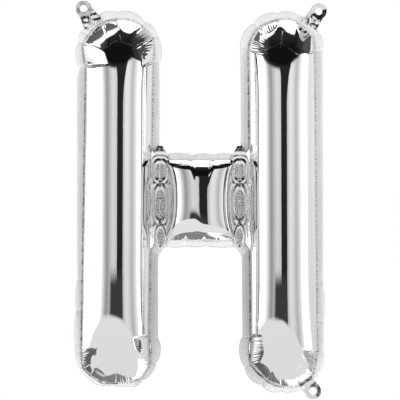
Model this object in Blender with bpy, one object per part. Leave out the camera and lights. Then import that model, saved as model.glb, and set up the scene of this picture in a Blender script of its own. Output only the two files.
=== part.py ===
"""A silver foil balloon in the form of a capital letter with two legs and a crossbar.

Two film sheets are heat-sealed together along a flat flange. The sheets swell into two legs and a
crossbar, and a pointed weld parts the crossbar from each leg. Two punched hanging tabs stand at the
top corners, and the filling tab with its two loose plies at the bottom right.
X runs across the letter, Z up it, and the front faces -Y. The origin lies midway between the holes
of the two hanging tabs.
"""
import math

import bmesh
import bpy
import numpy as np
from mathutils import Vector
from mathutils.geometry import delaunay_2d_cdt

MM = 0.001

# Film and seams
PLY = 0.5 * MM
HALF_GAP = 0.16 * MM
FLANGE_WIDTH = 7.4 * MM
WALL_INSET = 0.8 * MM
SHOULDER_INSETS = (4.5 * MM, 11.0 * MM)
CREASE_LENGTH = 19.0 * MM
CREASE_WIDTH = 4.2 * MM
CREASE_DEPTH = 0.26

# The four rounded ends of the legs: centre, and each gather in the flange as angle and radius
LOBE_RADIUS = 41.2 * MM
TOP_LEFT_CENTRE = (-75.8 * MM, -39.9 * MM)
TOP_LEFT_GATHERS = (
    (-16, 38.6),
    (24, 39.1),
    (52, 39.1),
    (92, 38.1),
    (118, 40.0),
    (148, 40.0),
    (164, 39.3),
    (200, 38.6),
)
TOP_RIGHT_CENTRE = (75.8 * MM, -40.8 * MM)
TOP_RIGHT_GATHERS = (
    (4, 38.1),
    (30, 39.5),
    (40, 40.0),
    (60, 40.0),
    (68, 39.3),
    (96, 38.1),
    (132, 39.1),
    (172, 38.6),
)
BOTTOM_LEFT_CENTRE = (-76.7 * MM, -313.3 * MM)
BOTTOM_LEFT_GATHERS = (
    (187, 39.6),
    (228, 39.1),
    (244, 39.4),
    (270, 37.9),
    (308, 39.1),
    (336, 39.3),
    (372, 38.1),
)
BOTTOM_RIGHT_CENTRE = (76.7 * MM, -316.1 * MM)
BOTTOM_RIGHT_GATHERS = (
    (164, 38.6),
    (204, 39.1),
    (236, 38.3),
    (264, 39.3),
    (280, 39.4),
    (295, 40.0),
    (319, 40.0),
    (356, 39.4),
)
TAB_SPANS = ((118, 148), (40, 60), (295, 319))

# Gathers along the straight edges between those ends, in mm: x, z and the bulge that follows
TOP_EDGE = (
    (29.8, -134.3, 1.6),
    (13.0, -134.9, 1.6),
    (-6.5, -134.9, 1.8),
    (-29.8, -134.3, -0.6),
    (-33.5, -128.7, -0.6),
    (-37.7, -123.6, 0.0),
    (-38.1, -114.3, 0.5),
)
LEFT_EDGE = (
    (-114.4, -65.0, 0.0),
    (-114.4, -232.4, 0.0),
    (-114.2, -251.0, 1.4),
    (-115.3, -279.8, 1.9),
)
BOTTOM_EDGE = (
    (-39.1, -231.5, -0.6),
    (-36.3, -225.0, -0.6),
    (-31.6, -219.9, 1.0),
    (-12.1, -219.4, 1.2),
    (5.6, -219.0, 1.2),
    (31.6, -219.9, -0.6),
    (36.3, -225.0, -0.6),
    (39.1, -231.5, 0.0),
)
RIGHT_EDGE = (
    (115.1, -290.1, 1.2),
    (114.4, -251.9, 0.3),
    (114.0, -97.6, 0.3),
)
INNER_RIGHT_EDGE = (
    (38.1, -118.0, 0.0),
    (37.7, -123.6, -0.6),
    (33.5, -128.7, -0.6),
)

# The pointed welds between the crossbar and the legs
WELD_X = 37.0 * MM
WELD_Z = -176.2 * MM
WELD_HALF_WIDTH = 5.4 * MM
WELD_HALF_HEIGHT = 33.0 * MM
WELD_POINTS = 9

# Rows of points up the legs and over the crossbar
LEG_X = 76.3 * MM
LEG_COLUMNS = (-9.5 * MM, 0.0, 9.5 * MM)
LEG_TOP_ROW = -34.0 * MM
LEG_BOTTOM_ROW = -320.0 * MM
LEG_ROWS = 19
BAR_COLUMNS = (-16.0 * MM, -8.0 * MM, 0.0, 8.0 * MM, 16.0 * MM)
BAR_ROWS = 5
BAR_HALF_HEIGHT = 22.0 * MM
LOBE_STEP = 6.8 * MM
EDGE_STEP = 16.0 * MM

# Hanging and filling tabs: hole, ring, and the neck down to the flange
RING_RADIUS = 7.5 * MM
HOLE_RADIUS = 3.3 * MM
FILLING_HOLE_RADIUS = 3.6 * MM
TAB_HALF_THICKNESS = PLY + HALF_GAP
BUTT_GAP = 0.35 * MM
RING_STEPS = 20
LEFT_HOLE = (-108.3 * MM, 1.3 * MM)
RIGHT_HOLE = (110.4 * MM, -1.3 * MM)
FILLING_HOLE = (105.2 * MM, -354.4 * MM)


def clear_scene():
    for obj in list(bpy.data.objects):
        bpy.data.objects.remove(obj, do_unlink=True)


def foil(name, colour, roughness):
    material = bpy.data.materials.new(name)
    material.use_nodes = True
    shader = material.node_tree.nodes["Principled BSDF"]
    shader.inputs["Base Color"].default_value = (*colour, 1.0)
    shader.inputs["Metallic"].default_value = 1.0
    shader.inputs["Roughness"].default_value = roughness
    return material


def polar(centre, angle, radius):
    turn = math.radians(angle)
    return np.array(
        [centre[0] + radius * math.cos(turn), centre[1] + radius * math.sin(turn)]
    )


def end_gathers(centre, gathers):
    """The gathers round one leg end, each with the bulge of the lobe that follows it."""
    found = []
    for index, (angle, radius) in enumerate(gathers):
        point = polar(centre, angle, radius * MM)
        bulge = 0.0
        if index + 1 < len(gathers):
            after, after_radius = gathers[index + 1]
            middle = (point + polar(centre, after, after_radius * MM)) / 2
            if (angle, after) not in TAB_SPANS:
                bulge = LOBE_RADIUS - math.dist(middle, centre)
        found.append((point, bulge))
    return found


def edge_gathers(rows):
    return [(np.array([x * MM, z * MM]), bulge * MM) for x, z, bulge in rows]


def gathers_round_letter():
    """Every gather in order, anticlockwise from the crossbar's top right corner."""
    found = edge_gathers(TOP_EDGE)
    found += end_gathers(TOP_LEFT_CENTRE, TOP_LEFT_GATHERS)
    found += edge_gathers(LEFT_EDGE)
    found += end_gathers(BOTTOM_LEFT_CENTRE, BOTTOM_LEFT_GATHERS)
    found += edge_gathers(BOTTOM_EDGE)
    found += end_gathers(BOTTOM_RIGHT_CENTRE, BOTTOM_RIGHT_GATHERS)
    found += edge_gathers(RIGHT_EDGE)
    found += end_gathers(TOP_RIGHT_CENTRE, TOP_RIGHT_GATHERS)
    found += edge_gathers(INNER_RIGHT_EDGE)
    return found


def inward(direction):
    """The unit vector to the left of a direction, into the letter."""
    return np.array([-direction[1], direction[0]]) / np.hypot(*direction)


def flange_outline():
    """Points of the flange's edge, the way into the letter at each, and which are gathers."""
    gathers = gathers_round_letter()
    count = len(gathers)
    sides = []
    for index, (point, _) in enumerate(gathers):
        sides.append(inward(gathers[(index + 1) % count][0] - point))
    corners = []
    for index in range(count):
        middle = sides[index - 1] + sides[index]
        corners.append(middle / np.hypot(*middle))
    points = []
    inwards = []
    marks = []
    for index, (start, bulge) in enumerate(gathers):
        end = gathers[(index + 1) % count][0]
        length = math.dist(start, end)
        step = LOBE_STEP if bulge > 0.9 * MM else EDGE_STEP
        pieces = max(1, round(length / step))
        for piece in range(pieces):
            along = piece / pieces
            rise = (4 * along * (1 - along)) ** 0.75
            into = corners[index] * (1 - along) + corners[(index + 1) % count] * along
            into /= np.hypot(*into)
            points.append(start + (end - start) * along - sides[index] * bulge * rise)
            inwards.append(into)
            marks.append(piece == 0 and bulge > 0.9 * MM)
    return np.array(points), np.array(inwards), np.array(marks)


def weld_outline(side, spread):
    """The pointed oval of one weld, clockwise, grown by spread."""
    points = []
    tall = WELD_HALF_HEIGHT + spread
    wide = WELD_HALF_WIDTH + spread
    for turn in (1, -1):
        for step in range(WELD_POINTS):
            share = step / WELD_POINTS
            height = math.cos(math.pi * share) * tall * turn
            width = math.sin(math.pi * share) * wide * turn
            points.append((side * WELD_X + width, WELD_Z + height))
    return np.array(points)


def inside(points, loop):
    """Which points lie within a closed loop."""
    held = np.zeros(len(points), bool)
    before = np.roll(loop, 1, axis=0)
    for start, end in zip(before, loop):
        crosses = (start[1] > points[:, 1]) != (end[1] > points[:, 1])
        rise = end[1] - start[1]
        if rise == 0:
            continue
        reach = start[0] + (points[:, 1] - start[1]) * (end[0] - start[0]) / rise
        held ^= crosses & (points[:, 0] < reach)
    return held


def distance_to_loop(points, loop):
    ends = np.roll(loop, -1, axis=0)
    nearest = np.full(len(points), np.inf)
    for start, end in zip(loop, ends):
        along = end - start
        share = np.clip((points - start) @ along / (along @ along), 0, 1)
        gap = points - start - share[:, None] * along
        nearest = np.minimum(nearest, np.hypot(gap[:, 0], gap[:, 1]))
    return nearest


def grid_points():
    """Rows up the middle of each leg and over the crossbar."""
    points = []
    for side in (-1, 1):
        for row in range(LEG_ROWS):
            z = LEG_TOP_ROW + (LEG_BOTTOM_ROW - LEG_TOP_ROW) * row / (LEG_ROWS - 1)
            for column in LEG_COLUMNS:
                points.append((side * LEG_X + column, z))
    for row in range(BAR_ROWS):
        z = WELD_Z + BAR_HALF_HEIGHT * (2 * row / (BAR_ROWS - 1) - 1)
        for column in BAR_COLUMNS:
            points.append((column, z))
    return np.array(points)


def spaced(points, least):
    """The points that keep a least distance from those already kept."""
    kept = []
    for point in points:
        if all(math.dist(point, other) >= least for other in kept):
            kept.append(point)
    return np.array(kept)


def swell(points, triangles, fixed):
    """Heights of a film blown up over the plan, from a membrane that the seams hold down."""
    corners = points[triangles]
    area = np.zeros(len(points))
    stiffness = np.zeros((len(points), len(points)))
    doubled = np.abs(
        np.cross(
            np.c_[corners[:, 1] - corners[:, 0], np.zeros(len(triangles))],
            np.c_[corners[:, 2] - corners[:, 0], np.zeros(len(triangles))],
        )[:, 2]
    )
    for turn in range(3):
        here = triangles[:, turn]
        left = triangles[:, (turn + 1) % 3]
        right = triangles[:, (turn + 2) % 3]
        to_left = points[left] - points[here]
        to_right = points[right] - points[here]
        pull = (to_left * to_right).sum(axis=1) / doubled / 2
        np.add.at(area, here, doubled / 6)
        np.add.at(stiffness, (left, right), -pull)
        np.add.at(stiffness, (right, left), -pull)
        np.add.at(stiffness, (left, left), pull)
        np.add.at(stiffness, (right, right), pull)
    free = ~fixed
    rise = np.zeros(len(points))
    rise[free] = np.linalg.solve(stiffness[np.ix_(free, free)], area[free])
    return np.sqrt(2 * np.maximum(rise, 0))


def sheet_plan():
    """The plan of one sheet: points, triangles, heights over the seam plane."""
    edge, into, marks = flange_outline()
    count = len(edge)
    seam = edge + into * FLANGE_WIDTH
    wall = seam + into * WALL_INSET
    welds = [weld_outline(side, 0.0) for side in (-1, 1)]
    skirts = [weld_outline(side, WALL_INSET) for side in (-1, 1)]
    loose = [seam + into * inset for inset in SHOULDER_INSETS]
    loose.append(grid_points())
    loose = np.concatenate(loose)
    clear = inside(loose, wall) & (distance_to_loop(loose, wall) > 2.6 * MM)
    for skirt in skirts:
        clear &= ~inside(loose, skirt) & (distance_to_loop(loose, skirt) > 2.6 * MM)
    loose = spaced(loose[clear], 2.8 * MM)
    loops = [wall, *skirts]
    points = np.concatenate([*loops, loose])
    edges = []
    first = 0
    for loop in loops:
        last = first + len(loop)
        edges += [(at, at + 1 if at + 1 < last else first) for at in range(first, last)]
        first = last
    flat = [Vector(point * 1000) for point in points]
    made = delaunay_2d_cdt(flat, edges, [], 0, 1e-6)
    cdt = np.array([tuple(vertex) for vertex in made[0]]) / 1000
    assert len(cdt) == len(points)
    faces = np.array([tuple(face) for face in made[2]])
    middles = cdt[faces].mean(axis=1)
    keep = inside(middles, wall)
    for skirt in skirts:
        keep &= ~inside(middles, skirt)
    faces = faces[keep]
    turned = np.cross(
        np.c_[cdt[faces[:, 1]] - cdt[faces[:, 0]], np.zeros(len(faces))],
        np.c_[cdt[faces[:, 2]] - cdt[faces[:, 0]], np.zeros(len(faces))],
    )[:, 2]
    faces[turned < 0] = faces[turned < 0][:, ::-1]
    # Outside the triangulated film come the seam, the flange's edge, and the welds.
    size = len(cdt)
    points = np.concatenate([cdt, seam, edge, *welds])
    extra = []
    seam_at = size
    edge_at = size + count
    for at in range(count):
        after = (at + 1) % count
        extra.append((seam_at + at, seam_at + after, after, at))
        extra.append((edge_at + at, edge_at + after, seam_at + after, seam_at + at))
    first = count
    weld_at = edge_at + count
    caps = []
    for weld in welds:
        ring = len(weld)
        for at in range(ring):
            after = (at + 1) % ring
            extra.append((first + at, weld_at + at, weld_at + after, first + after))
        half = ring // 2
        for at in range(half):
            low = (ring - at) % ring
            low_after = ring - at - 1
            cap = [weld_at + at, weld_at + at + 1, weld_at + low_after, weld_at + low]
            caps.append(list(dict.fromkeys(cap)))
        first += ring
        weld_at += ring
    fixed = np.ones(len(points), bool)
    fixed[:size] = False
    split = []
    for quad in extra:
        split.append((quad[0], quad[1], quad[2]))
        split.append((quad[0], quad[2], quad[3]))
    whole = np.concatenate([faces, np.array(split)])
    heights = swell(points, whole, fixed)
    for start, way in zip(seam[marks], into[marks]):
        offset = points - start
        depth = offset @ way
        aside = offset @ np.array([-way[1], way[0]])
        fade = np.clip(1 - depth / CREASE_LENGTH, 0, 1) * (depth > -1 * MM)
        heights *= 1 - CREASE_DEPTH * fade * np.exp(-((aside / CREASE_WIDTH) ** 2))
    polygons = [tuple(face) for face in faces] + extra + [tuple(cap[::-1]) for cap in caps]
    return points, polygons, heights


def film_sheet(name, side, plan, material):
    """One sheet. Side is -1 for the front, towards -Y, and 1 for the back."""
    points, polygons, heights = plan
    surface = bmesh.new()
    base = HALF_GAP + PLY
    vertices = []
    for (x, z), height in zip(points, heights):
        y = side * (base + round(float(height), 6))
        vertices.append(surface.verts.new((float(x), y, float(z))))
    for polygon in polygons:
        corners = [vertices[at] for at in polygon]
        surface.faces.new(corners if side < 0 else corners[::-1])
    surface.normal_update()
    mesh = bpy.data.meshes.new(name)
    surface.to_mesh(mesh)
    surface.free()
    sheet = bpy.data.objects.new(name, mesh)
    bpy.context.collection.objects.link(sheet)
    mesh.materials.append(material)
    thickness = sheet.modifiers.new("film", "SOLIDIFY")
    thickness.thickness = PLY
    thickness.offset = -1.0
    thickness.use_even_offset = False
    return sheet


def tab(name, hole, hole_radius, arc, neck, low, high, material):
    """A flat punched tab: a ring that runs into a neck, from y low to y high."""
    outer = []
    for step in range(RING_STEPS + 1):
        angle = arc[0] + (arc[1] - arc[0]) * step / RING_STEPS
        outer.append(polar(hole, angle, RING_RADIUS))
    outer += [np.array(point) for point in neck]
    inner = []
    for step in range(RING_STEPS):
        inner.append(polar(hole, 360 * step / RING_STEPS, hole_radius))
    loops = [outer, inner]
    flat = [Vector(point * 1000) for loop in loops for point in loop]
    edges = []
    first = 0
    for loop in loops:
        last = first + len(loop)
        edges += [(at, at + 1 if at + 1 < last else first) for at in range(first, last)]
        first = last
    made = delaunay_2d_cdt(flat, edges, [], 0, 1e-6)
    points = np.array([tuple(vertex) for vertex in made[0]]) / 1000
    faces = np.array([tuple(face) for face in made[2]])
    middles = points[faces].mean(axis=1)
    faces = faces[inside(middles, np.array(outer)) & ~inside(middles, np.array(inner))]
    plate = bmesh.new()
    vertices = [plate.verts.new((float(x), low, float(z))) for x, z in points]
    for face in faces:
        plate.faces.new([vertices[at] for at in face])
    bmesh.ops.recalc_face_normals(plate, faces=plate.faces)
    made = bmesh.ops.extrude_face_region(plate, geom=plate.faces[:])
    moved = [item for item in made["geom"] if isinstance(item, bmesh.types.BMVert)]
    bmesh.ops.translate(plate, verts=moved, vec=(0, high - low, 0))
    bmesh.ops.recalc_face_normals(plate, faces=plate.faces)
    mesh = bpy.data.meshes.new(name)
    plate.to_mesh(mesh)
    plate.free()
    piece = bpy.data.objects.new(name, mesh)
    bpy.context.collection.objects.link(piece)
    mesh.materials.append(material)
    return piece


def root(centre, gathers, start, end):
    """The two corners where a tab butts against the flange, the one at the later angle first."""
    radii = dict(gathers)
    first = polar(centre, start, radii[start] * MM)
    last = polar(centre, end, radii[end] * MM)
    out = -inward(last - first)
    return [last + out * BUTT_GAP, first + out * BUTT_GAP]


def build():
    clear_scene()
    mirror_foil = foil("mirror_foil", (0.90, 0.91, 0.92), 0.08)
    satin_foil = foil("satin_foil", (0.80, 0.81, 0.80), 0.35)
    plan = sheet_plan()
    film_sheet("front_sheet", -1, plan, mirror_foil)
    film_sheet("back_sheet", 1, plan, mirror_foil)
    left_root = root(TOP_LEFT_CENTRE, TOP_LEFT_GATHERS, 118, 148)
    left_neck = [(-111.4 * MM, -7.7 * MM), *left_root, (-98.4 * MM, -1.3 * MM)]
    right_root = root(TOP_RIGHT_CENTRE, TOP_RIGHT_GATHERS, 40, 60)
    right_neck = [(100.3 * MM, -1.0 * MM), *right_root, (110.9 * MM, -10.8 * MM)]
    filling_root = root(BOTTOM_RIGHT_CENTRE, BOTTOM_RIGHT_GATHERS, 295, 319)
    low = -TAB_HALF_THICKNESS
    high = TAB_HALF_THICKNESS
    tab("hanging_tab_top_left", LEFT_HOLE, HOLE_RADIUS, (20, 195), left_neck, low, high, satin_foil)
    tab("hanging_tab_top_right", RIGHT_HOLE, HOLE_RADIUS, (-21, 132), right_neck, low, high, satin_foil)
    arc = (210, 403)
    radius = FILLING_HOLE_RADIUS
    tab("filling_tab_front_ply", FILLING_HOLE, radius, arc, filling_root, low, -HALF_GAP, satin_foil)
    tab("filling_tab_back_ply", FILLING_HOLE, radius, arc, filling_root, HALF_GAP, high, satin_foil)


build()
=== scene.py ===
import math

import bmesh
import bpy
import numpy as np
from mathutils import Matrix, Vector


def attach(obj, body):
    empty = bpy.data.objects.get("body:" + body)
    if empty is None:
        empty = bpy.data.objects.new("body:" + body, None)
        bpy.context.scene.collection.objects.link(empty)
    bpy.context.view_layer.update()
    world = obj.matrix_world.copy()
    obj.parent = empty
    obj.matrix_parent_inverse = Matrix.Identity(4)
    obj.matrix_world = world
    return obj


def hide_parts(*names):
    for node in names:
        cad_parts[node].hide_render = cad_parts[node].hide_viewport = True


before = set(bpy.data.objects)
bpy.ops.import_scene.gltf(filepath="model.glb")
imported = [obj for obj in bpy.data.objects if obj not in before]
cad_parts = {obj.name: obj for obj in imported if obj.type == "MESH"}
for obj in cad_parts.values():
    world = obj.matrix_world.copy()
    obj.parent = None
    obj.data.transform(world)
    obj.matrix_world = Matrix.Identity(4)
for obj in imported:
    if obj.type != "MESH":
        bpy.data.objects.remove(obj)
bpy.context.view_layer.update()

# The room. A white studio: a tall panel on each side, a dark strip between them where the
# photographer stands, a dark ceiling in front, and a pale floor that ends below the letter.


class Shade:
    """A socket in a node tree, so that the sums of a shader read as sums."""

    def __init__(self, tree, socket=None):
        self.tree = tree
        self.socket = socket

    def node(self, kind, settings=None, inputs=None, output=0):
        made = self.tree.nodes.new("ShaderNode" + kind)
        for name, value in (settings or {}).items():
            if name == "stops":
                ramp = made.color_ramp
                while len(ramp.elements) < len(value):
                    ramp.elements.new(1.0)
                for stop, (place, grey) in zip(ramp.elements, value):
                    stop.position = place
                    stop.color = (grey, grey, grey, 1.0)
            else:
                setattr(made, name, value)
        for key, value in (inputs or {}).items():
            if isinstance(value, Shade):
                self.tree.links.new(value.socket, made.inputs[key])
            else:
                made.inputs[key].default_value = value
        return Shade(self.tree, made.outputs[output])

    def math(self, operation, *values):
        return self.node("Math", {"operation": operation}, dict(enumerate(values)))

    def __add__(self, other):
        return self.math("ADD", self, other)

    __radd__ = __add__

    def __sub__(self, other):
        return self.math("SUBTRACT", self, other)

    def __rsub__(self, other):
        return self.math("SUBTRACT", other, self)

    def __mul__(self, other):
        return self.math("MULTIPLY", self, other)

    __rmul__ = __mul__

    def __truediv__(self, other):
        return self.math("DIVIDE", self, other)

    def rise(self, low, high):
        """0 below low and 1 above high, with a soft step between them."""
        settings = {"interpolation_type": "SMOOTHSTEP"}
        return self.node("MapRange", settings, {0: self, 1: low, 2: high})

    def toward(self, other, share):
        """This value, moved to another by a share from 0 to 1."""
        return self + (other - self) * share


room = bpy.data.worlds.new("studio")
bpy.context.scene.world = room
room.use_nodes = True
room.node_tree.nodes.clear()
air = Shade(room.node_tree)
ray = air.node("TexCoord")
way = [air.node("SeparateXYZ", None, {0: ray}, axis) for axis in range(3)]
tilt = air.math("ARCCOSINE", way[1] * -1.0) * (180 / math.pi)
spread = air.math("SQRT", way[0] * way[0] + way[2] * way[2] + 1e-9)
across = tilt * way[0] / spread
up = tilt * way[2] / spread
panels = air.node(
    "ValToRGB",
    {
        "stops": [
            (0.0, 1.1),
            (0.150, 1.4),
            (0.315, 2.1),
            (0.340, 1.05),
            (0.358, 0.80),
            (0.382, 0.42),
            (0.398, 0.33),
            (0.415, 0.50),
            (0.450, 0.76),
            (0.476, 0.70),
            (0.490, 0.62),
            (0.547, 0.56),
            (0.558, 0.62),
            (0.578, 0.86),
            (0.605, 0.80),
            (0.640, 0.52),
            (0.665, 0.72),
            (0.695, 1.05),
            (0.710, 2.1),
            (0.760, 1.6),
            (0.785, 0.84),
            (0.830, 0.80),
            (1.0, 1.1),
        ]
    },
    {0: across / 360 + 0.5},
)
from_left = air.math("MAXIMUM", across + 7, 0)
over_left = air.math("MAXIMUM", up - 12, 0) * 0.7
left_lit = 1 - air.math("SQRT", from_left * from_left + over_left * over_left).rise(3.2, 4.8)
from_right = air.math("MAXIMUM", 43 - across, 0)
over_right = air.math("MAXIMUM", up + 3, 0)
right_lit = 1 - air.math("SQRT", from_right * from_right + over_right * over_right).rise(24.5, 27)
stand = across.rise(-31, -21) * (1 - across.rise(15, 18)) * (1 - up.rise(-6, 0))
high = up.rise(18.5, 20.5)
dim = 0.006 + up.rise(45, 85) * 0.016 + (across * -1).rise(35, 60) * 0.05 + across.rise(45, 68) * 0.03
past_left = up * 0.843 - across * 0.538 - 85
far_left = up.rise(24, 32) * (1 - across.rise(-92, -84))
left_wing = 1.5 - air.math("MAXIMUM", past_left.rise(2, 6), far_left) * 1.38
left_share = air.math("MAXIMUM", past_left.rise(-5.5, -1), 1 - across.rise(-96, -88))
top = up + air.math("MAXIMUM", across, 0) * 0.42
top = top - (1 - across.rise(-12, -6)) * 12 + (1 - across.rise(-42, -36)) * 24
top_share = top.rise(90, 93) * across.rise(-60, -54) * (1 - across.rise(60, 66))
right_wing = 0.08 + up.rise(56, 64) * 0.45
right_share = across.rise(58, 68) * tilt.rise(85, 91)
roof = dim.toward(left_wing, left_share).toward(1.8, top_share).toward(right_wing, right_share)
lower = panels.toward(0.02, (1 - left_lit) * (1 - right_lit)).toward(0.05, stand)
sight = lower.toward(roof, high)
floor_edge = up + across * 0.045
sight = sight.toward(0.88 - across.rise(84, 94) * 0.42, 1 - floor_edge.rise(-15.5, -14.1))
under = up - (1 - across.rise(-70, -62)) * 20
beneath = tilt.rise(79.5, 83) * (1 - under.rise(-43, -36))
sight = sight.toward(0.14 + across.rise(-66, -58) * 0.12 + across.rise(5, 12) * 1.2, beneath)
seen = air.node("LightPath")
glow = air.node("Background", None, {0: sight.toward(1.0, seen), 1: 1.0})
room_out = room.node_tree.nodes.new("ShaderNodeOutputWorld")
room.node_tree.links.new(glow.socket, room_out.inputs[0])

scene = bpy.context.scene
scene.view_settings.view_transform = "Standard"
view = bpy.data.cameras.new("camera")
view.lens = 36 * 6.0 / 0.372
view.sensor_width = 36
camera = bpy.data.objects.new("camera", view)
bpy.context.collection.objects.link(camera)
camera.location = (0.0, -6.0, -0.1766)
camera.rotation_euler = (math.pi / 2, 0, 0)
scene.camera = camera

for place, watts in (((-2.2, -2.6, 0.9), 54.0), ((2.2, -2.6, 0.5), 56.0)):
    box = bpy.data.lights.new("softbox", "AREA")
    box.size = 1.6
    box.energy = watts
    lamp = bpy.data.objects.new("softbox", box)
    bpy.context.collection.objects.link(lamp)
    lamp.location = place
    aim = Vector((0, 0, -0.18)) - Vector(place)
    lamp.rotation_euler = aim.to_track_quat("-Z", "Y").to_euler()
    lamp.visible_glossy = False

bpy.ops.mesh.primitive_plane_add(size=1.0)
floor = bpy.context.object
floor.name = "floor"
floor.scale = (3.0, 3.0, 1.0)
floor.location = (0, 0, -0.62)
paint = bpy.data.materials.new("floor_paint")
paint.use_nodes = True
paint.node_tree.nodes["Principled BSDF"].inputs["Base Color"].default_value = (0.85, 0.85, 0.85, 1)
paint.node_tree.nodes["Principled BSDF"].inputs["Roughness"].default_value = 0.9
floor.data.materials.append(paint)
floor.visible_glossy = False

# The left leg. Metallised film, blown up tight between the flange's seams. Each rounded end is
# gathered into facets, and the film puckers finely where the heat seal holds it.
MM = 0.001
HALF_DEPTH = 30.5 * MM
SEAM_HALF = 30.5 * MM
END_RADIUS = 31.3 * MM
STATION = 0.78 * MM
LEG_ROWS = 46


def mirror(name, dull):
    """Bright metallised film: faint rolling lines, a few scratches and soft dents. Painted shade
    darkens it towards the bottom and in the valleys of its puckers. dull is the roughness that
    handling and crushing leave."""
    material = bpy.data.materials.new(name)
    material.use_nodes = True
    shader = material.node_tree.nodes["Principled BSDF"]
    here = Shade(material.node_tree).node("TexCoord", None, None, 3)
    axes = [here.node("SeparateXYZ", None, {0: here}, axis) for axis in range(3)]
    # Painted shade: the film's colour darkens from 0.95 at the top to 0.80 towards the bottom.
    tone = 0.80 + axes[2].rise(-0.36, -0.02) * 0.15
    speck = here.node("TexNoise", None, {"Vector": here, "Scale": 420.0, "Detail": 3.0})
    tone = tone - speck.rise(0.70, 0.78) * 0.10
    band = here.node("Attribute", {"attribute_name": "band"})
    drawn = [here.node("SeparateXYZ", None, {0: band}, axis) for axis in range(3)]
    # Painted shade: channel 0 of band darkens the film in the valleys of its puckers.
    tone = tone * (1 - drawn[0])
    colour = here.node("CombineColor", None, {0: tone * 0.990, 1: tone * 0.998, 2: tone})
    haze = here.node("TexNoise", None, {"Vector": here, "Scale": 38.0, "Detail": 4.0})
    dents = here.node("TexNoise", None, {"Vector": here, "Scale": 60.0, "Detail": 2.0})
    bump = here.node("Bump", None, {"Strength": 0.05, "Distance": 0.001, "Height": dents})
    shader.inputs["Metallic"].default_value = 1.0
    for key, value in (("Base Color", colour), ("Roughness", dull + haze * (dull + 0.015) + drawn[1] * 0.3), ("Normal", bump)):
        material.node_tree.links.new(value.socket, shader.inputs[key])
    return material


mirror_foil = mirror("mirror_foil", 0.015)


def film(leaf, columns, rows, shape, marks=None):
    """Adds a grid of film to a bmesh. shape gives its places from shares u and v of its sides,
    and marks gives what its material needs to know there."""
    if marks:
        layer = leaf.verts.layers.float_color.get("band") or leaf.verts.layers.float_color.new("band")
    made = bmesh.ops.create_grid(leaf, x_segments=columns, y_segments=rows, size=1.0)["verts"]
    plan = np.array([vertex.co[:2] for vertex in made])
    u = np.rint((plan[:, 0] + 1) / 2 * columns) / columns
    v = np.rint((plan[:, 1] + 1) / 2 * rows) / rows
    for vertex, place in zip(made, shape(u, v)):
        vertex.co = place
    if marks:
        for vertex, mark in zip(made, marks(u, v)):
            vertex[layer] = mark


def finished(name, leaf, material, merge=1e-6):
    """The piece of a bmesh: seams closed, faces out, smooth, on the part's root."""
    bmesh.ops.remove_doubles(leaf, verts=leaf.verts, dist=merge)
    bmesh.ops.dissolve_degenerate(leaf, edges=leaf.edges, dist=1e-9)
    bmesh.ops.recalc_face_normals(leaf, faces=leaf.faces)
    mesh = bpy.data.meshes.new(name)
    leaf.to_mesh(mesh)
    leaf.free()
    mesh.shade_smooth()
    piece = bpy.data.objects.new(name, mesh)
    bpy.context.collection.objects.link(piece)
    mesh.materials.append(material)
    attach(piece, "root")
    return piece


def around(centre, angle, radius):
    turn = np.radians(angle)
    return np.stack([centre[0] + radius * np.cos(turn), centre[1] + radius * np.sin(turn)], -1)


def ease(value, low, high):
    share = np.clip((value - low) / (high - low), 0, 1)
    return share * share * (3 - 2 * share)


def wander(places, seed, pitch):
    """A smooth random number from -1 to 1 along a seam."""
    count = int(places.max() / pitch) + 4
    marks = np.random.default_rng(seed).uniform(-1, 1, count)
    at = places / pitch
    low = np.floor(at).astype(int)
    share = at - low
    share = share * share * (3 - 2 * share)
    return marks[low] * (1 - share) + marks[low + 1] * share


def folds(places, seed, pitch):
    """Sharp folds across a seam, from -1 to 1, at an uneven pitch."""
    at = places / pitch + 0.8 * wander(places, seed, 1.6 * pitch)
    return 4 * np.abs(at - np.floor(at) - 0.5) - 1


def seam_curve(corners):
    """A closed seam as a dense run of points, bulged out between its gathers. Each point has
    the pucker reach and height of its run."""
    runs, reaches, sizes = [], [], []
    for index, (start, bulge, reach, size) in enumerate(corners):
        end = corners[(index + 1) % len(corners)][0]
        along = np.linspace(0, 1, 80, endpoint=False)[:, None]
        way = (end - start) / np.hypot(*(end - start))
        out = np.array([way[1], -way[0]])
        rise = (4 * along * (1 - along)) ** 0.75
        runs.append(start + (end - start) * along + out * rise * bulge * MM)
        reaches.append(np.full(80, reach * MM))
        sizes.append(np.full(80, size * MM))
    return np.concatenate(runs), np.concatenate(reaches), np.concatenate(sizes)


def leg_stations(top, bottom, seam):
    """Seam points anticlockwise round a leg, the axis point of each, and a plain rounded seam."""
    levels = np.linspace(bottom[1], top[1], int((top[1] - bottom[1]) / STATION))
    axis = np.stack([np.interp(levels, [bottom[1], top[1]], [bottom[0], top[0]]), levels], -1)
    middle = (top[0] + bottom[0]) / 2
    turns = np.linspace(0, 180, 180)[1:-1]
    flat = END_RADIUS - (END_RADIUS - SEAM_HALF) * np.abs(np.cos(np.radians(turns))) ** 6
    points, axes, plain, ends = [], [], [], []
    for centre, start, sign in ((top, 0, 1), (bottom, 180, -1)):
        edge = seam[(seam[:, 0] - middle) * sign > 0]
        edge = edge[np.argsort(edge[:, 1])]
        side = np.stack([np.interp(levels, edge[:, 1], edge[:, 0]), levels], -1)
        points.append(side[::sign])
        axes.append(axis[::sign])
        plain.append((axis + np.array([sign * SEAM_HALF, 0]))[::sign])
        ends.append(np.zeros(len(levels)))
        gap = seam - centre
        angle = np.degrees(np.arctan2(gap[:, 1], gap[:, 0])) % 360
        order = np.argsort(angle)
        radius = np.interp(turns + start, angle[order], np.hypot(*gap.T)[order], period=360)
        points.append(around(centre, turns + start, radius))
        axes.append(np.tile(centre, (len(turns), 1)))
        plain.append(around(centre, turns + start, flat))
        ends.append(ease(90 - np.abs(turns - 90), 0, 24))
    return [np.concatenate(found) for found in (points, axes, plain, ends)]


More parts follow.
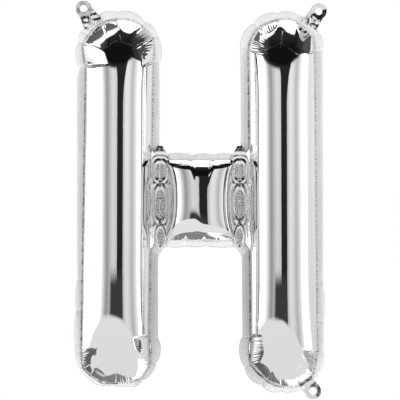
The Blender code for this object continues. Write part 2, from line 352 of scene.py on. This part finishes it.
def dome(lift, ends):
    """The rise of the film over its seam, as a share. An end is flatter than the straight."""
    return np.sin(lift) ** (1 + 0.36 * ends * ease(lift, 0.2, 0.9))


def facet(spot, centre, seam, height, row):
    """The height of a gore pulled flat between two gathers, over places in plan. It climbs from
    the seam and passes the given height at its inner edge."""
    start, end, facing, outer, inner, _ = row
    ahead_way = around((0, 0), facing, 1.0)
    beside_way = around((0, 0), facing + 90, 1.0)
    ahead = (spot - centre) @ ahead_way
    beside = (spot - centre) @ beside_way
    edge_ahead = (seam - centre) @ ahead_way
    edge_beside = (seam - centre) @ beside_way
    near = edge_ahead > 0.3 * np.abs(edge_beside)
    order = np.argsort(edge_beside[near])
    edge = np.interp(beside, edge_beside[near][order], edge_ahead[near][order])
    inset = (outer - inner) * MM
    share = np.clip(1 - (edge - ahead) / inset, 0, 1)
    over = outer * MM - ahead + (edge - outer * MM) * share
    low, high = [edge_beside[np.argmin(np.hypot(*(seam - around(centre, end, 1.1 * outer * MM)).T))]
                 for end in (start, end)]
    beyond = np.clip(np.maximum(low - beside, beside - high), 0, None)
    away = np.where(ahead < 0.3 * np.abs(beside), 1.0, 0.0)
    return height * (np.clip(over, 0, None) / inset) ** 0.86 + 3.2 * beyond + away


def lower_of(first, second, blend):
    """The lower of two heights, with a rounded edge where they cross."""
    share = np.clip(0.5 + 0.5 * (second - first) / blend, 0, 1)
    return second * (1 - share) + first * share - blend * share * (1 - share)


def off_line(spot, start, end):
    """How far places in plan are from a straight line between two points."""
    way = end - start
    share = np.clip((spot - start) @ way / (way @ way), 0, 1)
    return np.hypot(*(spot - start - share[:, None] * way).T)


def leg(name, top, bottom, corners, facets, creases, seed):
    """A leg as one closed skin. Every station of its seam has an arc of film, front and back,
    that climbs from the seam to the leg's middle. creases are the ends, in mm from the top
    end's centre, of the faint lines where its head was folded."""
    top, bottom = np.array(top), np.array(bottom)
    seam, reaches, sizes = seam_curve(corners)
    points, axes, plain, ends = leg_stations(top, bottom, seam)
    count = len(points)
    places = np.concatenate([[0], np.cumsum(np.hypot(*np.diff(points, axis=0).T))])
    nearest = np.full(count, np.inf)
    for corner, *_ in corners:
        gap = np.abs(places - places[np.argmin(np.hypot(*(points - corner).T))])
        nearest = np.minimum(nearest, np.minimum(gap, places[-1] - gap))
    run = [np.argmin(np.hypot(*(seam - point).T)) for point in points]
    reaches = reaches[run]
    sizes = sizes[run] * ease(nearest, -1 * MM, 2 * MM)
    top_z = top[1] + END_RADIUS
    bottom_z = bottom[1] - END_RADIUS

    def taper(z):
        top_share = np.clip((z - top_z + 79 * MM) / (79 * MM), 0, 1.2)
        foot_share = np.clip((bottom_z + 107 * MM - z) / (107 * MM), 0, 1.2)
        return 1 - 0.45 * top_share**2 - 0.47 * foot_share**2

    leaf = bmesh.new()
    drawn = {}
    for side in (-1, 1):
        wave = folds(places, seed + side, 2.35 * MM)
        broad = folds(places, seed + 10 + side, 4.2 * MM)
        reach = reaches * (1 + 0.40 * wander(places, seed + 20 + side, 2.4 * MM))
        size = sizes * (1 + 0.5 * wander(places, seed + 30 + side, 5 * MM))

        def shape(u, v):
            at = np.rint(u * count).astype(int) % count
            lift = v**1.15 * math.pi / 2
            arc = lift * SEAM_HALF
            soft = ease(lift, 0.05, 0.75)[:, None]
            foot = points[at] * (1 - soft) + plain[at] * soft
            out = foot - axes[at]
            length = np.hypot(*out.T)
            out = out / length[:, None]
            spot = axes[at] + out * (length * np.cos(lift))[:, None]
            deep = HALF_DEPTH * dome(lift, ends[at]) * taper(spot[:, 1])
            for centre, rows in zip((top, bottom), facets):
                near = np.hypot(*(spot - centre).T) < 50 * MM
                for row in rows:
                    inner = row[4] * MM
                    level = inner * math.sin(math.radians(row[2])) + centre[1]
                    height = HALF_DEPTH * dome(math.acos(inner / END_RADIUS), 1) * taper(level)
                    flat = facet(spot[near], centre, seam, height, row)
                    blend = row[5] * MM * ease(arc[near], 0, 5 * MM) + 0.01 * MM
                    deep[near] = lower_of(deep[near], flat, blend)
            deep = np.maximum(deep, 0)
            wide = 0.8 * MM + 0.02 * arc
            push = -1.1 * MM * np.exp(-((nearest[at] / wide) ** 2)) * np.exp(-((arc / (9 * MM)) ** 2))
            ripple = np.cos(2 * math.pi * nearest[at] / (2.6 * MM)) * np.exp(-((nearest[at] / (3.2 * MM)) ** 2))
            push = push - 0.22 * MM * ripple * np.exp(-((arc / (12 * MM)) ** 2))
            fade = np.clip(1 - arc / reach[at], 0, 1)
            far = np.clip(1 - arc / np.minimum(2 * reach[at], 34 * MM), 0, 1)
            push = push + size[at] * (wave[at] * fade + 0.45 * broad[at] * far)
            push = push * ease(arc, 0, 0.7 * MM)
            # Painted shade: the pucker valleys near the seam are painted dark in the film's colour.
            painted_pucker_shade = 0.8 * ease(-wave[at], 0.3, 0.95) * np.clip(1 - arc / (0.6 * reach[at]), 0, 1) ** 0.6
            painted_pucker_shade = painted_pucker_shade * np.clip(size[at] / (0.16 * MM), 0, 1)
            rubbed = np.zeros(len(at))
            for start, *ends_of in creases:
                for end in ends_of:
                    gap = off_line(spot - top, np.array(start) * MM, np.array(end) * MM)
                    rubbed = np.maximum(rubbed, np.exp(-((gap / (0.6 * MM)) ** 2)))
            drawn["marks"] = np.stack([painted_pucker_shade * ease(arc, 0, 1 * MM), rubbed, rubbed, rubbed], -1)
            spot = spot + out * (push * np.cos(lift))[:, None]
            deep = deep + push * np.sin(lift)
            return np.stack([spot[:, 0], side * deep, spot[:, 1]], -1)

        film(leaf, count, LEG_ROWS, shape, lambda u, v: drawn["marks"])
    piece = finished(name, leaf, mirror_foil)
    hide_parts("front_sheet", "back_sheet")
    return piece


def gathers(centre, rows):
    """The seam's gathers round an end. The run that follows each has a bulge and puckers."""
    return [(around(centre, angle, radius * MM), *run) for angle, radius, *run in rows]


LEFT_TOP = (-75.8 * MM, -39.9 * MM)
LEFT_BOTTOM = (-76.7 * MM, -313.3 * MM)
left_corners = gathers(
    LEFT_TOP,
    (
        (-14, 33.2, 1.0, 13.0, 0.20),
        (24, 35.2, 0.2, 10.0, 0.20),
        (47, 33.4, 3.6, 12.0, 0.02),
        (95, 31.0, 0.6, 12.0, 0.22),
        (118, 32.2, 2.2, 9.0, 0.02),
        (166, 34.0, 1.0, 24.0, 0.07),
        (201, 32.4, 0.0, 6.8, 0.06),
    ),
)
left_corners += gathers(
    LEFT_BOTTOM,
    (
        (190, 34.2, 0.2, 12.0, 0.02),
        (211, 37.4, 0.2, 12.0, 0.02),
        (226, 36.4, 0.4, 26.0, 0.13),
        (248, 36.2, 0.4, 26.0, 0.10),
        (291, 35.2, 0.3, 8.0, 0.02),
        (307, 36.2, 0.4, 8.0, 0.02),
        (331, 34.2, 0.8, 22.0, 0.10),
        (377, 30.8, 0.0, 10.4, 0.07),
    ),
)
LEFT_FACETS = (
    (
        (-14, 24, 27, 34.0, 17.5, 1.5),
        (24, 47, 36, 33.2, 19.0, 3.0),
        (47, 95, 74, 33.6, 21.0, 0.6),
        (95, 118, 107, 31.8, 17.0, 1.2),
        (118, 166, 139, 32.5, 19.0, 2.4),
        (166, 201, 181, 33.2, 15.4, 0.8),
    ),
    (
        (190, 226, 201, 35.7, 25.5, 0.6),
        (226, 248, 238, 35.0, 27.4, 0.6),
        (248, 291, 265, 34.8, 24.8, 0.6),
        (291, 331, 324, 34.4, 22.7, 0.6),
        (331, 377, 360, 31.8, 18.1, 0.6),
    ),
)
LEFT_CREASES = (((2.8, 9.9), (-3.6, 10.4), (1.4, 16.6), (12.9, 6.5)), ((-3.6, 10.4), (-10.8, 5.0)))
leg("leg_left", LEFT_TOP, LEFT_BOTTOM, left_corners, LEFT_FACETS, LEFT_CREASES, 111)

# The right leg, made as the left one is.
RIGHT_TOP = (75.8 * MM, -40.8 * MM)
RIGHT_BOTTOM = (76.7 * MM, -316.1 * MM)
right_corners = gathers(
    RIGHT_TOP,
    (
        (6, 31.0, 0.3, 6.8, 0.02),
        (34, 34.6, 0.0, 5.4, 0.02),
        (62, 33.0, 2.4, 24.0, 0.04),
        (96, 31.8, 1.2, 18.0, 0.20),
        (131, 32.6, 2.2, 26.0, 0.18),
        (173, 30.8, 0.0, 9.6, 0.07),
    ),
)
right_corners += gathers(
    RIGHT_BOTTOM,
    (
        (159, 31.8, 0.4, 26.0, 0.16),
        (203, 32.6, 0.8, 26.0, 0.16),
        (242, 32.0, 1.0, 26.0, 0.18),
        (268, 34.0, 1.4, 9.5, 0.02),
        (297, 36.0, 0.6, 26.0, 0.12),
        (320, 36.8, 0.4, 22.0, 0.15),
        (356, 32.6, 0.0, 10.4, 0.07),
    ),
)
RIGHT_FACETS = (
    (
        (6, 34, 28, 31.5, 22.8, 0.5),
        (34, 62, 40, 32.0, 22.8, 0.5),
        (62, 96, 77, 34.0, 20.5, 0.6),
        (96, 131, 113, 32.2, 22.0, 0.6),
        (131, 173, 160, 32.0, 18.0, 1.5),
    ),
    (
        (159, 203, 193, 31.6, 20.0, 0.8),
        (203, 242, 230, 31.8, 22.3, 0.6),
        (242, 268, 240, 32.3, 22.0, 0.6),
        (268, 297, 283, 33.5, 17.5, 0.6),
        (297, 320, 308, 34.5, 21.0, 0.6),
        (320, 356, 344, 33.5, 20.5, 0.6),
    ),
)
RIGHT_CREASES = (((-0.5, 9.7), (0.7, 20.6), (-15.8, 3.3), (14.5, -0.8), (-1.2, 5.4)),)
leg("leg_right", RIGHT_TOP, RIGHT_BOTTOM, right_corners, RIGHT_FACETS, RIGHT_CREASES, 151)

# The crossbar. A short pillow of the same film between the two welds, drawn in at its sides,
# with puckered seams along its top and bottom.
BAR_Z = -176.6 * MM
BAR_HALF_HEIGHT = 35.0 * MM
BAR_HALF_WIDTH = 27.6 * MM
BAR_DEPTH = 18.5 * MM
BAR_COLUMNS = 150
BAR_ROWS = 150
BAR_GATHERS = ((-31.0, -8.4, 12.0, 31.0), (-31.0, -12.5, 4.6, 31.0))
bar = bmesh.new()
for side in (-1, 1):
    line = np.linspace(0, 70 * MM, 500)
    bar_folds = [folds(line, 201 + side + 10 * end, 2.3 * MM) for end in range(2)]
    bar_reach = [1 + 0.4 * wander(line, 231 + side + 10 * end, 2 * MM) for end in range(2)]

    def shape(u, v):
        plan = np.sin((u - 0.5) * math.pi) * BAR_HALF_WIDTH
        share = np.sin((v - 0.5) * math.pi)
        bowed = np.abs(plan) / (24 * MM)
        profile = 1 - plan**2 / (88 * MM) / BAR_DEPTH - 2.0 * MM / BAR_DEPTH * bowed**4.5
        profile = profile * np.sqrt(np.clip(1 - np.abs(plan / BAR_HALF_WIDTH) ** 24, 0, 1))
        profile[(u < 1e-6) | (u > 1 - 1e-6)] = 0
        x = plan * (1 + 0.19 * np.abs(share) ** 2.5) + 0.3 * MM
        z = BAR_Z + share * BAR_HALF_HEIGHT + np.sign(share) * 3.0 * MM * np.abs(share) ** 24
        upper = 6.0 + 9.0 * ease(np.abs(x - 1.5 * MM), 5.5 * MM, 12 * MM)
        under = 4.0 + 3.0 * ease(x, -6 * MM, 5 * MM)
        power = np.where(share > 0, upper, under)
        deep = BAR_DEPTH * profile * np.sqrt(1 - np.abs(share) ** power)
        arc = BAR_HALF_HEIGHT * (1 - np.abs(share)) + deep * 0.6
        at = np.clip((x + 35 * MM) / (70 * MM) * 499, 0, 499).astype(int)
        for end, half in ((0, share > 0), (1, share <= 0)):
            marks = np.array(BAR_GATHERS[end]) * MM
            gap = np.abs(x[:, None] - marks[None, 1:-1]).min(1)
            run = np.clip(np.searchsorted(marks, x) - 1, 0, 2)
            middle = (x - marks[run]) / (marks[run + 1] - marks[run])
            lobe = (4 * np.clip(middle * (1 - middle), 0, 0.25)) ** 0.6
            fade = np.clip(1 - arc / (9 * MM), 0, 1)
            push = (1.1 * lobe - 0.9) * MM * fade
            push = push - 0.8 * MM * np.exp(-((gap / (1.1 * MM)) ** 2)) * fade
            near = np.clip(1 - arc / (6 * MM * bar_reach[end][at]), 0, 1)
            push = push + 0.26 * MM * bar_folds[end][at] * near * ease(arc, 0, 0.8 * MM)
            push = np.where(half, push, 0)
            z = z + np.sign(share) * push
            deep = deep + np.where(profile > 0, 0.4 * push * (1 - np.abs(share)) ** 0.3, 0)
        edge = (u < 1e-6) | (u > 1 - 1e-6) | (v < 1e-6) | (v > 1 - 1e-6)
        deep = np.where(edge, 0, np.maximum(deep, 0.02 * MM))
        return np.stack([x, side * deep, z], -1)

    film(bar, BAR_COLUMNS, BAR_ROWS, shape)
crossbar = finished("crossbar", bar, mirror_foil)
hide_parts("front_sheet", "back_sheet")

# The welds. Between each leg and the crossbar the two sheets are sealed together in a short
# upright line, and the film round it is crushed into sharp little folds.
WELD_COLUMNS = 100
WELD_ROWS = 240
WELD_MIDDLE = -174.6
WELD_HALF_HEIGHT = 49.5
WELD_HALF_WIDTH = 11.4
crushed_foil = mirror("crushed_foil", 0.12)


def crumple(x, z, seed, pitch):
    """Crushed film: sharp folds laid over each other in chance directions, from -1 to 1."""
    chance = np.random.default_rng(seed)
    total = np.zeros_like(x)
    for _ in range(5):
        angle = chance.uniform(0, math.pi)
        step = pitch * chance.uniform(0.7, 1.6)
        bend = np.sin((x * math.sin(angle) - z * math.cos(angle)) / (1.7 * pitch) + chance.uniform(0, 6))
        at = (x * math.cos(angle) + z * math.sin(angle)) / step + 0.3 * bend + chance.uniform(0, 1)
        total += 4 * np.abs(at - np.floor(at) - 0.5) - 1
    return total / 3


def pleats(places, pitch, sway):
    """Even sharp pleats, from -1 to 1, over places in mm. sway bends them."""
    at = places / pitch + sway
    return 4 * np.abs(at - np.floor(at) - 0.5) - 1


def weld(name, sign, seed):
    """The crushed film round one weld, with its sunken cells. sign is 1 on the right."""
    cells = ((-149.6, 5.6, 9.4, 3.2), (-158.2, 2.6, 2.0, 2.0), (-180.3, 6.1, 16.7, 2.3), (-210.5, 4.4, 10.4, 1.7))
    leaf = bmesh.new()
    for side in (-1, 1):

        def shape(u, v):
            far = np.abs(v - 0.5) * 2
            z = WELD_MIDDLE + (v - 0.5) * 2 * WELD_HALF_HEIGHT
            x = (u - 0.5) * 2 * WELD_HALF_WIDTH * (1 - 0.90 * far**3.4)
            gap = np.full(len(u), 99.0)
            for level, half, tall, power in cells:
                ring = (np.abs(x / half) ** power + np.abs((z - level) / tall) ** power) ** (1 / power)
                gap = np.minimum(gap, (ring - 1) * half)
            beside = ease(np.abs(x), 0.8, 3.6)
            bank = 1.9 + (0.25 + 0.5 * beside) * np.exp(-((gap / 0.8) ** 2)) + 0.55 * np.clip(gap - 1.5, 0, None)
            bank = bank + 0.16 * pleats(gap, 2.6, 0.1 * np.sin(z * 0.5)) * ease(gap, 0.8, 2.0)
            waist = np.exp(-(((z + 178) / 10) ** 2)) * ease(gap, 1.0, 2.5)
            bank = bank + 0.10 * waist * pleats(z, 1.25, 0.2 * np.sin(x + seed))
            floor = 1.55 + (0.6 + 0.5 * beside) * np.exp(-((gap / 1.0) ** 2))
            dashes = pleats(x, 1.25, 0.18 * np.sin(z * 0.6 + seed) + 0.12 * np.sin(z * 2.3))
            floor = floor + 0.075 * dashes * ease(-gap, 0.3, 1.2)
            slit = 0.75 * np.exp(-((x / 0.42) ** 2)) * np.exp(-(((z + 183) / 6.5) ** 4))
            spine = 0.45 * np.exp(-((x / 0.5) ** 2)) * np.exp(-(((z + 148.5) / 8) ** 4))
            roof = 0.5 * np.exp(-((((z + 138.6) - 0.7 * np.abs(x)) / 0.6) ** 2)) * (np.abs(x) < 4.6)
            floor = floor - slit - spine - roof
            deep = np.where(gap > 0, bank, floor)
            deep = deep + 0.05 * crumple(x, z, seed + side, 5.0) * ease(np.abs(gap), 0.3, 1.5)
            deep = np.clip(deep, 0.6, 11) * (1 - np.clip(far, 0, 1) ** 8) ** 0.5
            rim = (u < 1e-6) | (u > 1 - 1e-6) | (v < 1e-6) | (v > 1 - 1e-6)
            deep = np.where(rim, 0, np.maximum(deep, 0.25))
            return np.stack([sign * (36.9 - x), side * deep, z], -1) * MM

        film(leaf, WELD_COLUMNS, WELD_ROWS, shape)
    piece = finished(name, leaf, crushed_foil)
    piece.data.set_sharp_from_angle(angle=math.radians(55))
    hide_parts("front_sheet", "back_sheet")


weld("weld_left", -1, 401)
weld("weld_right", 1, 431)

# The flange. The band outside the seams where the two sheets are heat-sealed flat. It is satin,
# scalloped between the gathers of the round ends, and finely ribbed across.
FLANGE_STATION = 0.7 * MM
FLANGE_ROWS = 12
FLANGE_INSIDE = 9.4 * MM


def satin(name):
    """The pressed band: a fine grid of dots dulls the same film. Painted shade darkens it along its seams and on
    its lower inner stretches.
    """
    material = bpy.data.materials.new(name)
    material.use_nodes = True
    shader = material.node_tree.nodes["Principled BSDF"]
    here = Shade(material.node_tree).node("TexCoord", None, None, 3)
    grain = here.node("TexNoise", None, {"Vector": here, "Scale": 260.0, "Detail": 4.0})
    cloud = here.node("TexNoise", None, {"Vector": here, "Scale": 45.0, "Detail": 3.0})
    tone = 0.86 + grain * 0.08 + cloud * 0.06
    band = here.node("Attribute", {"attribute_name": "band"})
    drawn = [here.node("SeparateXYZ", None, {0: band}, axis) for axis in range(3)]
    # Painted shade: channel 0 draws a dark jagged line along the seam, and channel 2 darkens the lower inner
    # flange.
    painted_seam_line = 1 - here.math("ABSOLUTE", drawn[1]).rise(0.35, 0.85)
    tone = (tone * drawn[2]).toward(0.05, painted_seam_line * drawn[0])
    colour = here.node("CombineColor", None, {0: tone * 0.992, 1: tone, 2: tone * 0.996})
    dots = here.node("TexVoronoi", None, {"Vector": here, "Scale": 900.0, "Randomness": 0.25})
    bump = here.node("Bump", None, {"Strength": 0.25, "Distance": 0.0003, "Height": dots + grain})
    shader.inputs["Metallic"].default_value = 0.25
    for key, value in (("Base Color", colour), ("Roughness", 0.42 + cloud * 0.16), ("Normal", bump)):
        material.node_tree.links.new(value.socket, shader.inputs[key])
    return material


satin_foil = satin("satin_foil")
LOBE_RADIUS = 40.3 * MM


def lobes(centre, marks, straight=()):
    """The flange's gathers round one end, with the bulge of the lobe that follows each."""
    found = []
    for index, (angle, radius) in enumerate(marks):
        point = around(centre, angle, radius * MM)
        bulge = 0.0
        if index + 1 < len(marks) and angle not in straight:
            middle = (point + around(centre, marks[index + 1][0], marks[index + 1][1] * MM)) / 2
            bulge = LOBE_RADIUS - math.dist(middle, centre)
        found.append((point, bulge))
    return found


def edge(rows):
    return [(np.array([x, z]) * MM, bulge * MM) for x, z, bulge in rows]


rim = edge(((29.8, -134.3, 1.6), (13.0, -134.9, 1.6), (-6.5, -134.9, 1.8), (-29.8, -134.3, -0.6)))
rim += edge(((-33.5, -128.7, -0.6), (-37.7, -123.6, 0.0), (-38.1, -114.3, 0.5)))
rim += lobes(
    LEFT_TOP,
    ((-14, 38.8), (24, 39.0), (51, 37.6), (92, 37.2), (118, 39.6), (148, 39.6), (165, 38.2), (201, 38.6)),
    straight=(118,),
)
rim += edge(((-114.4, -65.0, 0.0), (-114.4, -232.4, 0.0), (-114.2, -251.0, 1.4), (-115.3, -279.8, 1.9)))
rim += lobes(
    LEFT_BOTTOM,
    ((188, 39.4), (211, 40.2), (226, 40.0), (247, 39.2), (292, 39.8), (307, 38.4), (337, 38.6), (372, 38.5)),
    straight=(247,),
)
rim += edge(((-39.1, -231.5, -0.6), (-36.3, -225.0, -0.6), (-31.6, -219.9, 1.0), (-12.1, -219.4, 1.2)))
rim += edge(((5.6, -219.0, 1.2), (31.6, -219.9, -0.6), (36.3, -225.0, -0.6), (39.1, -231.5, 0.0)))
rim += lobes(
    RIGHT_BOTTOM,
    ((162, 39.2), (204, 38.2), (239, 37.4), (268, 37.9), (295, 39.6), (321, 39.8), (356, 38.4)),
    straight=(295,),
)
rim += edge(((115.1, -290.1, 1.2), (114.4, -251.9, 0.3), (114.0, -97.6, 0.3)))
rim += lobes(
    RIGHT_TOP,
    ((4, 38.1), (30, 39.5), (40, 40.0), (60, 39.6), (66, 38.8), (95, 37.4), (132, 38.0), (172, 38.6)),
    straight=(40,),
)
rim += edge(((38.1, -118.0, 0.0), (37.7, -123.6, -0.6), (33.5, -128.7, -0.6)))

rim_points, rim_into, rim_near = [], [], []
ways = []
for index, (start, bulge) in enumerate(rim):
    way = rim[(index + 1) % len(rim)][0] - start
    ways.append(np.array([-way[1], way[0]]) / np.hypot(*way))
turns = [(ways[index - 1] + ways[index]) / np.hypot(*(ways[index - 1] + ways[index])) for index in range(len(rim))]
for index, (start, bulge) in enumerate(rim):
    end = rim[(index + 1) % len(rim)][0]
    length = math.dist(start, end)
    along = np.linspace(0, 1, max(2, round(length / FLANGE_STATION)), endpoint=False)[:, None]
    rise = (4 * along * (1 - along)) ** 0.75
    rim_points.append(start + (end - start) * along - ways[index] * bulge * rise)
    into = turns[index] * (1 - along) + turns[(index + 1) % len(rim)] * along
    rim_into.append(into / np.hypot(*into.T)[:, None])
    gap = np.minimum(along, 1 - along)[:, 0] * length
    rim_near.append(gap if abs(bulge) > 0.9 * MM else gap + 40 * MM)
rim_points = np.concatenate(rim_points)
rim_into = np.concatenate(rim_into)
rim_near = np.concatenate(rim_near)
rim_count = len(rim_points)
rim_places = np.concatenate([[0], np.cumsum(np.hypot(*np.diff(rim_points, axis=0).T))])
seams = np.concatenate([seam_curve(left_corners)[0], seam_curve(right_corners)[0]])
rim_seam = np.array([np.hypot(*(seams - point).T).min() for point in rim_points]) / MM
on_left = (rim_points[:, 0] < -76 * MM) | ((rim_points[:, 0] > 0) & (rim_points[:, 0] < 76 * MM))
on_left &= np.abs(rim_points[:, 0]) > 36 * MM
high_up = rim_points[:, 1] > -60 * MM
low_inner = (np.abs(rim_points[:, 0]) < 60 * MM) & (rim_points[:, 1] < -228 * MM)
# Painted shade along the seams: a dark line, stronger on the left side of each leg, weaker near the top, and
# dashed on the right sides.
painted_seam_shade = np.where(on_left, 0.85, 0.35) * np.where(high_up, 0.6, 1.0) * (rim_seam < 12)
rib_size = np.where((rim_points[:, 0] > 108 * MM) & (rim_points[:, 1] < -240 * MM), 0.20, 0.06)
painted_seam_shade = painted_seam_shade * (0.75 + 0.4 * wander(rim_places, 311, 3 * MM))
painted_seam_shade = np.where(on_left, painted_seam_shade, painted_seam_shade * 2 * (folds(rim_places, 314, 2.3 * MM) > 0))
line_jag = 0.28 * folds(rim_places, 312, 3.6 * MM) + 0.15 * wander(rim_places, 313, 1.5 * MM)
# Painted shade: the flange below and between the legs' inner sides is darkened to 0.78.
painted_inner_shade = np.where(low_inner, 0.78, 1.0)
flange_leaf = bmesh.new()
for side in (-1, 1):

    def shape(u, v):
        at = np.rint(u * rim_count).astype(int) % rim_count
        spot = rim_points[at] + rim_into[at] * (v * FLANGE_INSIDE)[:, None]
        rib = folds(rim_places, 301, 2.9 * MM) * rib_size * (0.7 + 0.5 * wander(rim_places, 302, 12 * MM)) * MM
        curl = 0.5 * wander(rim_places, 303, 22 * MM) * MM
        pinch = np.exp(-((rim_near / (1.3 * MM)) ** 2)) * 0.7 * MM
        puff = np.where(rim_near < 30 * MM, 1 - np.exp(-rim_near / (4 * MM)), 0.3) * 0.8 * MM
        y = (rib + pinch)[at] * (1 - v) ** 0.5 + curl[at] * (1 - v) ** 2
        y = y - puff[at] * (1 - (2 * v - 0.9) ** 2)
        thick = 0.18 * MM * np.sqrt(1 - (1 - np.minimum(v * 6, 1)) ** 2) * (v < 0.999)
        return np.stack([spot[:, 0], y + side * thick, spot[:, 1]], -1)

    def marks(u, v):
        at = np.rint(u * rim_count).astype(int) % rim_count
        off = v * FLANGE_INSIDE / MM - rim_seam[at] + 0.35 - line_jag[at]
        return np.stack([painted_seam_shade[at], off, painted_inner_shade[at], np.ones(len(at))], -1)

    film(flange_leaf, rim_count, FLANGE_ROWS, shape, marks)
flange = finished("flange", flange_leaf, satin_foil)
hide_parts("front_sheet", "back_sheet")

# The hanging tabs. A round ear with a punched hole stands out from each top corner, and its
# neck is crushed where the lobes on either side of it are pulled together.
TAB_RADIUS = 7.5
TAB_COLUMNS = 200
TAB_ROWS = 44
handled_foil = mirror("handled_foil", 0.13)


def tab(name, hole, hole_radius, root, length, waist, flare, crush, seed, lean, fold, stands_for):
    """An ear of film round a hole, as rings from the hole out to its rim. root is the way its
    neck runs, crush the height of its folds. lean is the slope of the ear, and fold is the angle
    and the slope of the half that is bent back."""
    leaf = bmesh.new()
    for side in (-1, 1):

        def shape(u, v):
            turn = u * 2 * math.pi
            off = np.abs((turn - math.radians(root) + math.pi) % (2 * math.pi) - math.pi)
            limit = np.full(len(u), TAB_RADIUS)
            ahead = off < math.pi / 2
            across_neck = np.maximum(np.sin(off[ahead]) - flare * np.cos(off[ahead]), 1e-6)
            reach = np.minimum(length / np.cos(off[ahead]), waist / across_neck)
            limit[ahead] = np.maximum(TAB_RADIUS, reach)
            radius = hole_radius + (limit - hole_radius) * v
            x = radius * np.cos(turn)
            z = radius * np.sin(turn)
            along = x * math.cos(math.radians(root)) + z * math.sin(math.radians(root))
            grow = ease(along, 5.0, 10.5)
            back = x * math.cos(math.radians(fold[0])) + z * math.sin(math.radians(fold[0]))
            flat = lean[0] * x + lean[1] * z + fold[1] * np.maximum(back, 0)
            rim = (v < 1e-6) | (v > 1 - 1e-6)
            y = 0.10 * crumple(x, z, seed, 6.0) + flat * (1 - grow) + crush * grow * crumple(x, z, seed + 3, 4.2)
            plump = (0.22 + 1.4 * grow) * np.sqrt(np.clip(1 - np.abs(2 * v - 1) ** 12, 0, 1))
            y = np.where(rim, y, y + side * plump)
            return np.stack([hole[0] + x, y, hole[1] + z], -1) * MM

        film(leaf, TAB_COLUMNS, TAB_ROWS, shape)
    piece = finished(name, leaf, handled_foil, 2e-6)
    piece.data.set_sharp_from_angle(angle=math.radians(35))
    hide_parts(*stands_for)


tab(
    "ear_top_left", (-108.3, 1.3), 3.3, -57, 18.5, 6.4, 0.20, 0.9, 501, (-0.20, -0.03), (0, 0.0),
    ["hanging_tab_top_left"],
)
tab(
    "ear_top_right", (110.4, -1.3), 3.3, 236, 16.5, 6.4, 0.14, 0.9, 521, (0.30, 0.03), (290, -0.25),
    ["hanging_tab_top_right"],
)

# The filling tab. A like ear at the right foot, two plies open between them, where the leg is
# blown up and sealed.
tab(
    "ear_filling", (105.2, -354.4), 3.6, 127, 13.0, 6.8, 0.06, 0.12, 541, (-0.02, 0.02), (215, 0.32),
    ["filling_tab_front_ply", "filling_tab_back_ply"],
)
